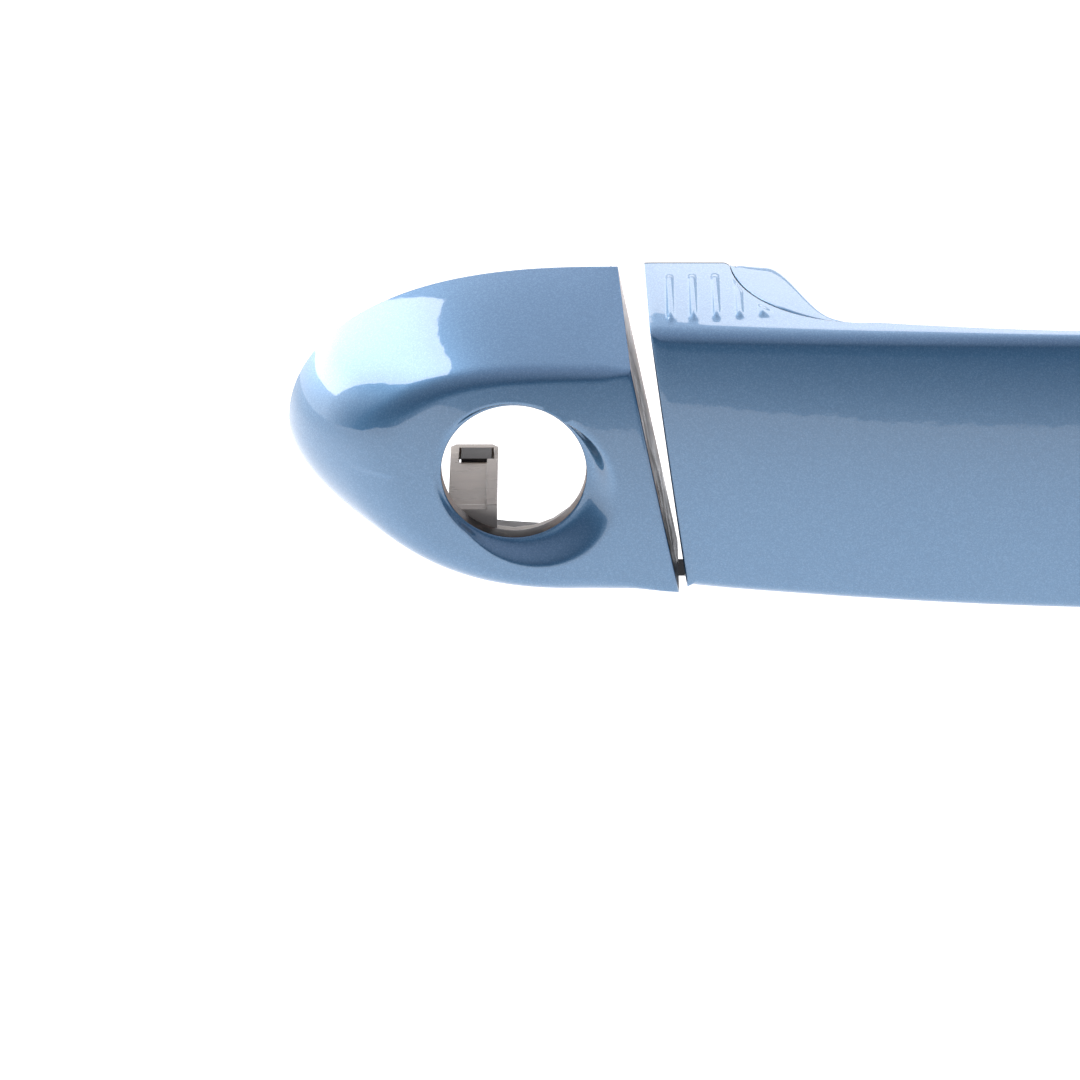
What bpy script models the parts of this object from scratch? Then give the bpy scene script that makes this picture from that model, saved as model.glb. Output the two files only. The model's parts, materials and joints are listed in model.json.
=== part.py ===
"""Car door handle, right-hand side: lock cover cap, pull grip and the carrier inside the door.

World axes: -X rear of the car (lock end), +X front (pivot end), -Y outward from the door, +Z up.
The origin lies on the carrier's centre pad, where it meets the inner side of the door skin (y = 0).
Sizes are in millimetres and become metres when a mesh is made.
"""

import math

import bmesh
import bpy
from mathutils import Matrix, Vector

MM = 0.001

# Fits and walls
GAP = 0.3  # clearance between pieces that touch
WALL = 2.4  # painted shells
INNER_WALL = 2.0  # grip's inner shell
SKIN = 1.0  # door skin between the carrier's pads and the gaskets
GASKET = 0.5  # gasket thickness
RIM_Y = -(SKIN + GASKET + GAP)  # rear rims of cap and grip

# Lock cover cap
CAP_TIP_X = -121.2
CAP_RIM_X = -76.0  # where the rim's nose curve starts
CAP_MID_Z = -1.3
CAP_TOP = 22.5  # rim above CAP_MID_Z
CAP_BOTTOM = 18.6  # rim below CAP_MID_Z
CAP_END_X = -71.86  # slanted end plane at z = 0
CAP_END_SLOPE = 0.21
FACET_X = -80.0  # where the facet's arch starts
FACET_LENGTH = 29.3
FACET_Z = -2.5
LOCK_R = 9.7
FACET_MARGIN = 6.9  # facet beyond the hole's radius, with room for the bracket's ring behind it
FACET_TOP = LOCK_R + FACET_MARGIN
FACET_BOTTOM = 15.8
CAP_DEPTH = 22.2  # front facet in front of y = 0
CAP_STRAIGHT = 5  # stations between the nose curve and the end plane
NOSE_DROP = 5.0  # how much the facet falls back towards the nose
RIM_POWER = 2.65  # squareness of the rim's nose curve
FACET_POWER = 3.25
LOCK_X = -90.3
LOCK_Z = -1.0
LOCK_RIM_Y = -19.9
DISH_TIGHT = 0.9  # dish width above and left of the hole
DISH_WIDE = 4.4  # what it gains below and right of it

# Grip
GRIP_TIP_X = 121.5
GRIP_RIM_X = 76.0
GRIP_TOP = 23.2
GRIP_BOTTOM = 18.6
GRIP_END_X = -69.6
GRIP_END_SLOPE = 0.145
GRIP_FACET_TOP = 21.3
GRIP_FACET_RISE = 2.0
GRIP_DEPTH = 20.5
GRIP_BOW = 6.8
BOW_SPAN = 72.0
FACE_CROWN = 0.0045  # front face's convexity, per mm
FOOT_X = 61.3  # where the parting line leaves the door
FINGER_X = 42.5  # where it reaches the grip's middle stretch
FOOT_DEPTH = 17.6
MIDDLE_RISE = 4.2
FOOT_BACK_X = 56.3  # inner shell's foot starts to leave the door
FOOT_SWEEP = 8.4  # length of its curve towards the grip
INNER_DEPTH = 8.0  # inner shell behind the parting line, at the middle
RIBS = 5
RIB_X = -69.5
RIB_PITCH = 3.04
RIB_WIDTH = 1.1
RIB_HEIGHT = 0.4
RIB_FRONT_Y = -16.35
RIB_BACK_Y = -5.3

# Swing of the grip and of the crank behind it
PIVOT_X = 117.0
PIVOT_Y = 9.0
PIVOT_PIN_R = 2.5
PIN_PLAY = 0.1
CRANK_ARM = 22.0
CRANK_PIN_R = 2.5
CRANK_PIN_Y = 28.2
CRANK_PIN_Z = -8.0
CRANK_LEAN = math.radians(26.6)  # arm's angle from upright at rest
CRANK_Y = CRANK_PIN_Y - CRANK_ARM * math.sin(CRANK_LEAN)
CRANK_Z = CRANK_PIN_Z - CRANK_ARM * math.cos(CRANK_LEAN)
AXLE_R = 2.0
HUB_R = 5.0

# Carrier
PAD = 3.0  # pad thickness behind the skin
RAIL_FRONT = 1.0
RAIL_BACK = 9.0
RAIL_TOP = -20.4
RAIL_HEIGHT = 6.4
NECK = 2.6  # rail's height behind the gap between cap and grip
NECK_LOW_X = -73.0
NECK_LENGTH = 11.0
RAIL_FALL = 0.488  # the rail slopes down towards the back
HEAD_REAR_X = -116.0
HEAD_REAR_END_X = -77.4
SEAT_R = 11.2  # lock seat, open towards the rail
CARRIER_END_X = 125.0

PAINT = ("paint_blue", (0.10, 0.24, 0.44), 0.6, 0.28)
PLASTIC = ("plastic_black", (0.03, 0.03, 0.035), 0.0, 0.55)
PLASTIC_GREY = ("plastic_grey", (0.36, 0.34, 0.31), 0.0, 0.45)
RUBBER = ("rubber_black", (0.02, 0.02, 0.02), 0.0, 0.8)
STEEL = ("steel_zinc", (0.62, 0.62, 0.60), 1.0, 0.32)
CAST = ("zinc_cast", (0.48, 0.48, 0.47), 1.0, 0.5)
COPPER = ("copper_wire", (0.72, 0.38, 0.20), 1.0, 0.3)
FERRITE = ("ferrite", (0.09, 0.09, 0.10), 0.2, 0.6)
BOARD = ("board_green", (0.03, 0.16, 0.07), 0.0, 0.4)


# Blender helpers


def clear_scene():
    for obj in list(bpy.data.objects):
        bpy.data.objects.remove(obj, do_unlink=True)


def collection(name):
    made = bpy.data.collections.new(name)
    bpy.context.scene.collection.children.link(made)
    return made


def material(spec):
    name, colour, metallic, roughness = spec
    made = bpy.data.materials.get(name)
    if made:
        return made
    made = bpy.data.materials.new(name)
    made.use_nodes = True
    shader = made.node_tree.nodes["Principled BSDF"]
    shader.inputs["Base Color"].default_value = (*colour, 1.0)
    shader.inputs["Metallic"].default_value = metallic
    shader.inputs["Roughness"].default_value = roughness
    made.diffuse_color = (*colour, 1.0)
    return made


def add_object(name, mesh, spec=None, sharp_deg=30):
    """A part when it has a material, otherwise a cutter."""
    obj = bpy.data.objects.new(name, mesh)
    if spec is None:
        CUTTERS.objects.link(obj)
        obj.hide_render = True
        obj.display_type = "WIRE"
        return obj
    PARTS.objects.link(obj)
    mesh.materials.append(material(spec))
    mesh.shade_smooth()
    mesh.set_sharp_from_angle(angle=math.radians(sharp_deg))
    return obj


def mesh_from(name, bm):
    bmesh.ops.recalc_face_normals(bm, faces=bm.faces)
    mesh = bpy.data.meshes.new(name)
    bm.to_mesh(mesh)
    bm.free()
    return mesh


def box(name, low, high, spec=None, bevel=0.0):
    """A box between two corners, with its edges rounded by bevel."""
    bm = bmesh.new()
    bmesh.ops.create_cube(bm, size=1.0)
    size = [(h - l) * MM for l, h in zip(low, high)]
    bmesh.ops.scale(bm, vec=size, verts=bm.verts)
    if bevel:
        bmesh.ops.bevel(
            bm,
            geom=list(bm.edges),
            offset=bevel * MM,
            segments=2,
            profile=0.5,
            affect="EDGES",
        )
    obj = add_object(name, mesh_from(name, bm), spec)
    obj.location = [(l + h) / 2 * MM for l, h in zip(low, high)]
    return obj


def rod(name, start, end, radius, spec=None, sides=24, end_radius=None):
    """A cylinder, or a cone, between two points."""
    start, end = Vector(start), Vector(end)
    bm = bmesh.new()
    bmesh.ops.create_cone(
        bm,
        cap_ends=True,
        segments=sides,
        radius1=radius * MM,
        radius2=(radius if end_radius is None else end_radius) * MM,
        depth=(end - start).length * MM,
    )
    obj = add_object(name, mesh_from(name, bm), spec)
    obj.location = (start + end) / 2 * MM
    obj.rotation_euler = (end - start).to_track_quat("Z", "Y").to_euler()
    return obj


def plate(name, outlines, plane, start, thickness, spec=None):
    """Flat outlines, the later ones as holes, extruded from start along the plane's normal."""
    sheet = bpy.data.curves.new(name, "CURVE")
    sheet.dimensions = "2D"
    sheet.fill_mode = "BOTH"
    sheet.extrude = thickness / 2 * MM
    for outline in outlines:
        spline = sheet.splines.new("POLY")
        spline.points.add(len(outline) - 1)
        spline.use_cyclic_u = True
        for point, (u, v) in zip(spline.points, outline):
            point.co = (u * MM, v * MM, 0.0, 1.0)
    guide = bpy.data.objects.new(name, sheet)
    CUTTERS.objects.link(guide)
    middle = (start + thickness / 2) * MM
    guide.matrix_world = {
        "XY": Matrix.Translation((0, 0, middle)),
        "XZ": Matrix.Translation((0, middle, 0)) @ Matrix.Rotation(math.pi / 2, 4, "X"),
        "YZ": Matrix.Translation((middle, 0, 0))
        @ Matrix(((0, 0, 1, 0), (1, 0, 0, 0), (0, 1, 0, 0), (0, 0, 0, 1))),
    }[plane]
    bpy.context.view_layer.update()
    graph = bpy.context.evaluated_depsgraph_get()
    mesh = bpy.data.meshes.new_from_object(guide.evaluated_get(graph))
    place = guide.matrix_world.copy()
    bpy.data.objects.remove(guide, do_unlink=True)
    mesh.materials.clear()
    bm = bmesh.new()
    bm.from_mesh(mesh)
    bmesh.ops.remove_doubles(bm, verts=bm.verts, dist=1e-7)
    bmesh.ops.recalc_face_normals(bm, faces=bm.faces)
    bm.to_mesh(mesh)
    bm.free()
    obj = add_object(name, mesh, spec)
    obj.matrix_world = place
    return obj


def loft(name, rings, spec=None, wrap=False, sharp_deg=30):
    """Skins closed rings of equal length; the ends are closed, or joined to each other with wrap."""
    bm = bmesh.new()
    rows = [[bm.verts.new([c * MM for c in point]) for point in ring] for ring in rings]
    count = len(rings[0])
    pairs = list(zip(rows, rows[1:])) + ([(rows[-1], rows[0])] if wrap else [])
    for a, b in pairs:
        for i in range(count):
            j = (i + 1) % count
            bm.faces.new((a[i], a[j], b[j], b[i]))
    if not wrap:
        bm.faces.new(rows[0])
        bm.faces.new(rows[-1])
    bmesh.ops.remove_doubles(bm, verts=bm.verts, dist=2e-6)
    bmesh.ops.dissolve_degenerate(bm, edges=bm.edges, dist=1e-6)
    bmesh.ops.triangulate(bm, faces=[f for f in bm.faces if len(f.verts) > 4])
    return add_object(name, mesh_from(name, bm), spec, sharp_deg)


def combine(obj, other, operation):
    step = obj.modifiers.new(other.name, "BOOLEAN")
    step.operation = operation
    step.solver = "EXACT"
    step.object = other


def cut(obj, *cutters):
    for cutter in cutters:
        combine(obj, cutter, "DIFFERENCE")


def join(obj, *pieces):
    for piece in pieces:
        combine(obj, piece, "UNION")


def arc(centre, radius, start_deg, end_deg, steps):
    """Points on an arc in a plane, both ends included."""
    points = []
    for i in range(steps + 1):
        angle = math.radians(start_deg + (end_deg - start_deg) * i / steps)
        points.append((centre[0] + radius * math.cos(angle), centre[1] + radius * math.sin(angle)))
    return points


def mix(a, b, t):
    return tuple(p + (q - p) * t for p, q in zip(a, b))


def smooth(t):
    t = min(1.0, max(0.0, t))
    return t * t * (3 - 2 * t)


def bezier(a, b, c, t):
    return mix(mix(a, b, t), mix(b, c, t), t)


# Painted shells: both are rings that run from the rear rim over a rounded edge to the front facet


def flank(rim, edge, bulge, t):
    """Side of a shell from its rim (t = 0) to the facet's edge (t = 1), bulging outward."""
    across = Vector((rim[0] - edge[0], 0, rim[2] - edge[2]))
    out = across.normalized() * 0.7 * bulge if across.length > 1e-6 else Vector()
    middle = mix(rim, edge, 0.42)
    control = (middle[0] + out.x, middle[1] - 0.35 * bulge, middle[2] + out.z)
    return bezier(rim, control, edge, t)


def toward(a, b, distance):
    """The point at a distance from a on the way to b, at most halfway."""
    length = (Vector(b) - Vector(a)).length
    return mix(a, b, min(0.5, distance / length)) if length > 1e-9 else a


def nose_shape(start, reach, power, half_height, mid_z, turn):
    """A point on a nose curve; turn runs from 0 (start, far from the tip) to 90 degrees (tip)."""
    x = start + reach * abs(math.sin(turn)) ** (2 / power)
    return x, mid_z + half_height * math.cos(turn)


def cap_end(z):
    return CAP_END_X - CAP_END_SLOPE * z


def cap_face_y(x, z):
    back = NOSE_DROP * (max(0.0, FACET_X - x) / FACET_LENGTH) ** 2.3
    return -(CAP_DEPTH - back - 0.0035 * (z + 4) ** 2)


def cap_loops(turns, ends, inset=0.0):
    """Rim and facet edge of the cap, moved inward by inset, with each point's bulge and radius."""
    rows = []
    for turn in turns:
        top = math.cos(turn) >= 0
        height = CAP_TOP if top else CAP_BOTTOM
        x, z = nose_shape(
            CAP_RIM_X, CAP_TIP_X - CAP_RIM_X + inset, RIM_POWER, height - inset, CAP_MID_Z, turn
        )
        height = FACET_TOP if top else FACET_BOTTOM
        fx, fz = nose_shape(
            FACET_X, -FACET_LENGTH + inset, FACET_POWER, height - 0.8 * inset, FACET_Z, turn
        )
        nose = abs(math.sin(turn))
        rows.append([(x, z), (fx, fz), 0.6 + 3.6 * nose**2, 1.5 + 1.0 * nose + (0 if top else 1.2)])
    corners = rows.pop(0), rows.pop()
    for corner, before in zip(corners, (rows[0], rows[-1])):
        for i in range(1, CAP_STRAIGHT + 1):
            share = i / CAP_STRAIGHT
            points = []
            for (x, z), (_, end_z) in zip(before[:2], corner[:2]):
                end_x = cap_end(end_z) - inset
                points.append((x + (end_x - x) * share, z + (end_z - z) * share))
            radius = corner[3] if i < CAP_STRAIGHT else 0.6
            place = 0 if corner is corners[0] else len(rows)
            rows.insert(place, [*points, corner[2] * (1 - share), radius])
    first, last = rows[0], rows[-1]
    for t in ends:
        rim_z = last[0][1] + (first[0][1] - last[0][1]) * t
        face_z = last[1][1] + (first[1][1] - last[1][1]) * t
        rim, face = (cap_end(rim_z) - inset, rim_z), (cap_end(face_z) - inset, face_z)
        rows.append([rim, face, 0.0, 0.5])
    return [
        ((rim[0], RIM_Y, rim[1]), (face[0], cap_face_y(*face) + inset, face[1]), bulge, radius)
        for rim, face, bulge, radius in rows
    ]


def dish_radius(angle):
    return LOCK_R + DISH_TIGHT + DISH_WIDE * max(0.0, math.cos(angle + math.radians(38))) ** 1.3


def cap_rings(turns, ends, flank_steps, face_steps, dish_steps):
    """Rings of the cap: rim, flank, rounded edge, facet, dish, hole, and back inside."""
    outer = cap_loops(turns, ends)
    inner = cap_loops(turns, ends, WALL)
    columns = []
    for (rim, edge, bulge, radius), (rim_in, edge_in, _, _) in zip(outer, inner):
        angle = math.atan2(edge[2] - LOCK_Z, edge[0] - LOCK_X)
        beam = (math.cos(angle), math.sin(angle))
        dish = dish_radius(angle)
        lip = (LOCK_X + dish * beam[0], 0.0, LOCK_Z + dish * beam[1])
        lip = (lip[0], cap_face_y(lip[0], lip[2]), lip[2])
        length = (Vector(edge) - Vector(rim)).length
        stop = 1 - radius / length
        column = [flank(rim, edge, bulge, stop * k / flank_steps) for k in range(flank_steps + 1)]
        after = toward(edge, lip, radius)
        after = (after[0], cap_face_y(after[0], after[2]), after[2])
        column += [bezier(column[-1], edge, after, k / 3) for k in (1, 2)]
        for k in range(face_steps + 1):
            x, _, z = mix(after, lip, k / face_steps)
            column.append((x, cap_face_y(x, z), z))
        for k in range(1, dish_steps + 1):
            t = k / dish_steps
            r = dish + (LOCK_R - dish) * t
            y = lip[1] + (LOCK_RIM_Y - lip[1]) * smooth(t)
            column.append((LOCK_X + r * beam[0], y, LOCK_Z + r * beam[1]))
        column.append((column[-1][0], LOCK_RIM_Y + WALL, column[-1][2]))
        column.append(edge_in)
        column += [flank(rim_in, edge_in, 0.6 * bulge, t) for t in (0.5, 0.0)]
        columns.append(column)
    return [list(ring) for ring in zip(*columns)]


def make_cap():
    turns = [math.pi * i / 48 for i in range(49)]
    turns = [t + 0.12 * math.sin(2 * t) for t in turns]  # closer together at the tip
    ends = [i / 18 for i in range(1, 18)]
    loft("cap_shell", cap_rings(turns, ends, 4, 2, 2), PAINT, wrap=True)


def make_cap_bracket():
    """Ring behind the hole with the long snap leg, whose slot takes the carrier's catch."""
    front = LOCK_RIM_Y + WALL + 1.2
    ring = arc((LOCK_X, LOCK_Z), LOCK_R + 2.2, 0, 345, 23)
    hole = arc((LOCK_X, LOCK_Z), LOCK_R + 0.9, 0, 345, 23)
    bracket = plate("cap_bracket", [ring, hole], "XZ", front, 1.6, PLASTIC_GREY)
    leg = plate(
        "leg",
        [
            [
                (LEG_LOW_X, front),
                (LEG_HIGH_X, front),
                (LEG_HIGH_X, LEG_END_Y - 0.8),
                (LEG_HIGH_X - 0.8, LEG_END_Y),
                (LEG_LOW_X + 0.8, LEG_END_Y),
                (LEG_LOW_X, LEG_END_Y - 0.8),
            ],
            [
                (LEG_LOW_X + 1.2, SLOT_LOW_Y),
                (LEG_HIGH_X - 0.6, SLOT_LOW_Y),
                (LEG_HIGH_X - 0.6, SLOT_HIGH_Y),
                (LEG_LOW_X + 1.2, SLOT_HIGH_Y),
            ],
        ],
        "XY",
        LEG_Z - LEG_THICK,
        LEG_THICK,
    )
    rib = box("leg_rib", (LEG_HIGH_X - 1.5, front, LEG_Z - 0.4), (LEG_HIGH_X, -1.6, LEG_Z + 1.1))
    root = box(
        "leg_root", (LEG_LOW_X, front, LEG_Z - LEG_THICK - 1.6), (LEG_HIGH_X, front + 1.6, LEG_Z + 0.4)
    )
    join(bracket, root, leg, rib)


LEG_LOW_X = -99.2
LEG_HIGH_X = -92.6
LEG_Z = -8.6
LEG_THICK = 1.8
LEG_END_Y = 5.6
SLOT_LOW_Y = -0.4
SLOT_HIGH_Y = 4.4


def grip_end(z):
    return GRIP_END_X - GRIP_END_SLOPE * z


def grip_bow(x):
    if x < 0:
        return GRIP_BOW * (1 - (x / BOW_SPAN) ** 2)
    return GRIP_BOW * math.cos(min(1.0, x / 105.0) * math.pi / 2) ** 2


def grip_face_y(x, z):
    back = 3.5 * (max(0.0, x + FACET_X) / FACET_LENGTH) ** 2.3
    return -(GRIP_DEPTH + grip_bow(x) - back - FACE_CROWN * (z - 1) ** 2)


def parting_y(x):
    """Where outer and inner shell meet; at the feet, the outer shell's rear rim."""
    x = abs(x)
    if x >= FOOT_X:
        return RIM_Y
    if x >= FINGER_X:
        return RIM_Y - FOOT_DEPTH * math.sqrt(1 - ((x - FINGER_X) / (FOOT_X - FINGER_X)) ** 2)
    return RIM_Y - FOOT_DEPTH - MIDDLE_RISE * (1 - (x / FINGER_X) ** 2)


def short_of_end(x, z, inset):
    """Squeezes a station left of the foot between the foot and the slanted end."""
    end = grip_end(z) + inset
    full = grip_end(CAP_MID_Z + GRIP_TOP)
    return -FOOT_X + (x + FOOT_X) * (end + FOOT_X) / (full + FOOT_X)


def grip_loops(along, around, ends, inset=0.0):
    """Rim and facet edge of the grip: top from left to right, nose, bottom back, left end."""
    rows = []
    for side, height, facet in ((1, GRIP_TOP, GRIP_FACET_TOP), (-1, GRIP_BOTTOM, FACET_BOTTOM)):
        half = []
        for x in along:
            rise = (GRIP_FACET_RISE if side > 0 else 0.6) * max(0.0, 1 - (x / BOW_SPAN) ** 2)
            z = CAP_MID_Z + side * (height - inset)
            fz = FACET_Z + side * (facet + rise - 0.8 * inset)
            rim, face = (x, z), (x, fz)
            if x < -FOOT_X and (side < 0 or inset > 0):
                rim, face = [(short_of_end(x, pz, inset), pz) for pz in (z, fz)]
            half.append([rim, face, 0.6 if side > 0 else 1.2, 3.0 if side > 0 else 2.6])
        for turn in around:
            nose = abs(math.sin(turn))
            reach = GRIP_TIP_X - GRIP_RIM_X - inset
            rim = nose_shape(GRIP_RIM_X, reach, RIM_POWER, side * (height - inset), CAP_MID_Z, turn)
            rise = side * (facet - 0.8 * inset)
            face = nose_shape(-FACET_X, FACET_LENGTH - inset, FACET_POWER, rise, FACET_Z, turn)
            half.append([rim, face, 0.6 + 3.6 * nose**2, 2.8 + 1.6 * nose])
        rows += half if side > 0 else half[-2::-1]
    for i in (0, -1):
        for j in (0, 1):
            z = rows[i][j][1]
            rows[i][j] = (grip_end(z) + inset, z)
        rows[i][2:] = [0.0, 0.6]
    first, last = rows[0], rows[-1]
    for t in ends:
        rim_z = last[0][1] + (first[0][1] - last[0][1]) * t
        face_z = last[1][1] + (first[1][1] - last[1][1]) * t
        rim, face = (grip_end(rim_z) + inset, rim_z), (grip_end(face_z) + inset, face_z)
        rows.append([rim, face, 0.0, 0.5])
    loops = []
    for rim, face, bulge, radius in rows:
        y = grip_face_y(*face) + inset
        if inset > 0:
            y = min(y, parting_y(face[0]) - GAP)
        loops.append(((rim[0], RIM_Y, rim[1]), (face[0], y, face[1]), bulge, radius))
    return loops


def flank_start(rim, edge, bulge):
    """Where the flank crosses the parting surface, as the flank's t."""
    goal = parting_y(rim[0])
    low, high = 0.0, 0.98
    for _ in range(30):
        middle = (low + high) / 2
        if flank(rim, edge, bulge, middle)[1] > goal + 1e-6:
            low = middle
        else:
            high = middle
    return low


def grip_rings(along, around, ends, flank_steps, face_steps):
    """Rings of the outer shell, from its spine outside, over the rim, to its spine inside."""
    outer = grip_loops(along, around, ends)
    inner = grip_loops(along, around, ends, WALL)
    spine = (-56.0, 88.0)
    columns = []
    for (rim, edge, bulge, radius), (rim_in, edge_in, _, _) in zip(outer, inner):
        x = min(spine[1], max(spine[0], edge[0]))
        middle = (x, 0.0, FACET_Z + 2)
        length = (Vector(edge) - Vector(rim)).length
        start = flank_start(rim, edge, bulge)
        stop = max(1 - radius / length, start + 0.3 * (1 - start))
        after = toward(edge, middle, radius)
        after = (after[0], grip_face_y(after[0], after[2]), after[2])
        column = []
        for k in range(face_steps + 1):
            px, _, pz = mix(middle, after, k / face_steps)
            column.append((px, grip_face_y(px, pz), pz))
        before = flank(rim, edge, bulge, stop)
        column += [bezier(after, edge, before, k / 3) for k in (1, 2)]
        column += [
            ribbed(flank(rim, edge, bulge, stop + (start - stop) * k / flank_steps))
            for k in range(flank_steps + 1)
        ]
        start = flank_start(rim_in, edge_in, 0.6 * bulge)
        column += [flank(rim_in, edge_in, 0.6 * bulge, t) for t in (start, (start + 1) / 2)]
        column.append(edge_in)
        column.append((x, grip_face_y(x, middle[2]) + WALL, middle[2]))
        columns.append(column)
    return [list(ring) for ring in zip(*columns)]


def ribbed(point):
    """The point raised onto one of the ribs, if it lies on the top under one."""
    x, y, z = point
    if z < 0:
        return point
    off = min(abs(x - RIB_X - RIB_PITCH * i) for i in range(RIBS)) / (RIB_WIDTH / 2)
    back = min(RIB_BACK_Y, parting_y(x) - 1.5)
    if off > 1 or not RIB_FRONT_Y < y < back:
        return point
    return (x, y, z + RIB_HEIGHT * (1 - off))


def foot_stations():
    """Stations on the quarter turn of the parting line, ending where it meets the door."""
    return [FINGER_X + (FOOT_X - FINGER_X) * math.sin(math.pi / 2 * i / 8) for i in range(9)]


def middle_stations():
    return [-FINGER_X + 2 * FINGER_X * i / 8 for i in range(1, 8)]


def grip_x_stations():
    """Stations along the straight stretch, closer where the parting line turns."""
    feet = foot_stations()
    half = RIB_WIDTH / 2
    ribs = [RIB_X + RIB_PITCH * i + side for i in range(RIBS) for side in (-half, 0.0, half)]
    clear = [-x for x in reversed(feet) if all(abs(x + rib) > 0.5 * half for rib in ribs)]
    right = [FOOT_X + 2.0, GRIP_RIM_X - 8.0]
    return sorted([-72.0, *ribs, *clear]) + middle_stations() + feet + right


def make_grip_outer():
    around = [math.pi / 2 * i / 16 for i in range(17)]
    around = [t + 0.12 * math.sin(2 * t) for t in around]
    ends = [i / 12 for i in range(1, 12)]
    loft("grip_outer_shell", grip_rings(grip_x_stations(), around, ends, 8, 3), PAINT)


def grip_top_z(x, y):
    """Height of the grip's top between its rear rim and the facet's edge."""
    face_z = FACET_Z + GRIP_FACET_TOP + GRIP_FACET_RISE * max(0.0, 1 - (x / BOW_SPAN) ** 2)
    rim_z = CAP_MID_Z + GRIP_TOP
    share = (y - RIM_Y) / (grip_face_y(x, face_z) - RIM_Y)
    return rim_z + (face_z - rim_z) * share + 0.8 * share * (1 - share)


def inner_back_y(x):
    """Finger side of the grip at mid height, from the feet to the middle."""
    x = abs(x)
    middle = parting_y(0) + INNER_DEPTH
    return RIM_Y + (middle - RIM_Y) * smooth((FOOT_BACK_X - x) / FOOT_SWEEP)


def inner_section(x, inset):
    """Points behind the parting line from the top edge over the back to the bottom edge."""
    front = parting_y(x) + GAP
    foot = smooth((abs(x) - FINGER_X) / (FOOT_BACK_X - FINGER_X))
    power = 2.0 + 14.0 * foot**2
    step = INNER_STEP * (1 - foot)
    bottom = CAP_MID_Z - GRIP_BOTTOM + step + inset
    depth = max(0.4, inner_back_y(x) - front - inset)
    points = []
    for i in range(SECTION_STEPS + 1):
        angle = math.pi / 2 - math.pi * i / SECTION_STEPS
        across = abs(math.cos(angle)) ** (2 / power)
        high = math.copysign(abs(math.sin(angle)) ** (2 / power), math.sin(angle))
        y = front + depth * across
        top = grip_top_z(x, y) - step - inset
        middle, half = (top + bottom) / 2, (top - bottom) / 2
        points.append((x, y, middle + half * high))
    return points


SECTION_STEPS = 20
INNER_STEP = 0.7  # inner shell set back from the outer one at the parting line


def make_grip_inner():
    knots = foot_stations()[:-1]
    middle = middle_stations()
    stations = [-x for x in reversed(knots)] + middle + knots
    rings = [
        inner_section(x, 0.0) + inner_section(x, INNER_WALL)[::-1] for x in stations
    ]
    loft("grip_inner_shell", rings, PAINT)


CORE_HALF = 10.5  # half height of the core inside the grip
CORE_ROOM = 1.4  # clearance for the shells' crowned walls


def core_front_y(x):
    return grip_face_y(x, 1) + WALL + CORE_ROOM


def core_back_y(x):
    return inner_back_y(x) - INNER_WALL - CORE_ROOM


def make_grip_core():
    """Stiff bar between the shells; the arms are screwed to its two ends."""
    front = [(x, core_front_y(x)) for x in (-64.9, *range(-56, 85, 10))]
    back = [(x, core_back_y(x)) for x in (58, 52, 48, 43, 30, 15, 0, -15, -30, -43, -48, -52, -58)]
    outline = front + [(84, -6.0), (62, -6.0)] + back + [(-59.5, -6.0), (-64.9, -6.0)]
    outline[13:15] = [(74, core_front_y(74)), (84, core_front_y(84))]
    core = plate("grip_core", [outline], "XY", -CORE_HALF, 2 * CORE_HALF, PLASTIC)
    board_y = core_front_y(-38)
    cut(
        core,
        box("board_pocket", (-50, -40, -8.5), (-18, board_y + BOARD_DEPTH, 8.5)),
        box("coil_pocket", (-12, -40, -6), (44, core_front_y(16) + COIL_DEPTH, 6)),
    )


BOARD_DEPTH = 1.9
COIL_DEPTH = 5.5


def make_electronics():
    """Touch electronics and antenna in the core's pockets."""
    y = core_front_y(-38) + BOARD_DEPTH - GAP
    board = box("sensor_board", (-49, y - 1.0, -8), (-19, y, 8), BOARD)
    chips = ((-45, -5, 6), (-36, 1, 5), (-28, -3, 4), (-24, 3, 3))
    for i, (x, z, size) in enumerate(chips):
        join(board, box(f"chip_{i}", (x, y - 1.5, z - size / 2), (x + size, y - 0.9, z + size / 2)))
    y = core_front_y(16) + COIL_DEPTH - 2.6
    box("antenna_core", (-10, y - 1.2, -3), (42, y + 1.2, 3), FERRITE, 0.4)
    sheath = box("antenna_coil", (-4, y - 2.1, -3.9), (36, y + 2.1, 3.9), COPPER, 0.5)
    cut(sheath, box("coil_bore", (-6, y - 1.5, -3.3), (38, y + 1.5, 3.3)))
    for name, x, z in (("lock_electrode", -57, CORE_HALF + GAP), ("unlock_electrode", -30, -12.4)):
        front = core_front_y(x) + (0.9 if z > 0 else 0.4)
        box(name, (x - 5, front, z), (x + 5, front + 2.6, z + 0.8), COPPER, 0.2)


TAIL_LOW_X = -65.2
TAIL_HIGH_X = -61.4
TAIL_LOW_Z = -10.6
TAIL_HIGH_Z = -2.0
HOOK_FACE_Y = CRANK_PIN_Y + CRANK_PIN_R + GAP
HOOK_THICK = 3.0
HOOK_HIGH_X = -53.6
ARM_FOOT_Y = -6.0 + GAP


def make_tail_arm():
    """Arm through the door skin with the hook that draws the crank outward."""
    arm = box(
        "tail_arm",
        (TAIL_LOW_X, ARM_FOOT_Y + 1, TAIL_LOW_Z),
        (TAIL_HIGH_X, HOOK_FACE_Y + HOOK_THICK, TAIL_HIGH_Z),
        CAST,
        0.6,
    )
    hook = box(
        "hook",
        (TAIL_LOW_X + 1, HOOK_FACE_Y, TAIL_LOW_Z),
        (HOOK_HIGH_X, HOOK_FACE_Y + HOOK_THICK, TAIL_HIGH_Z),
        bevel=0.5,
    )
    foot = box("tail_foot", (-65, ARM_FOOT_Y, -10), (-61.1, ARM_FOOT_Y + 3.2, 10.8), bevel=0.5)
    join(arm, foot, hook)


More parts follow.
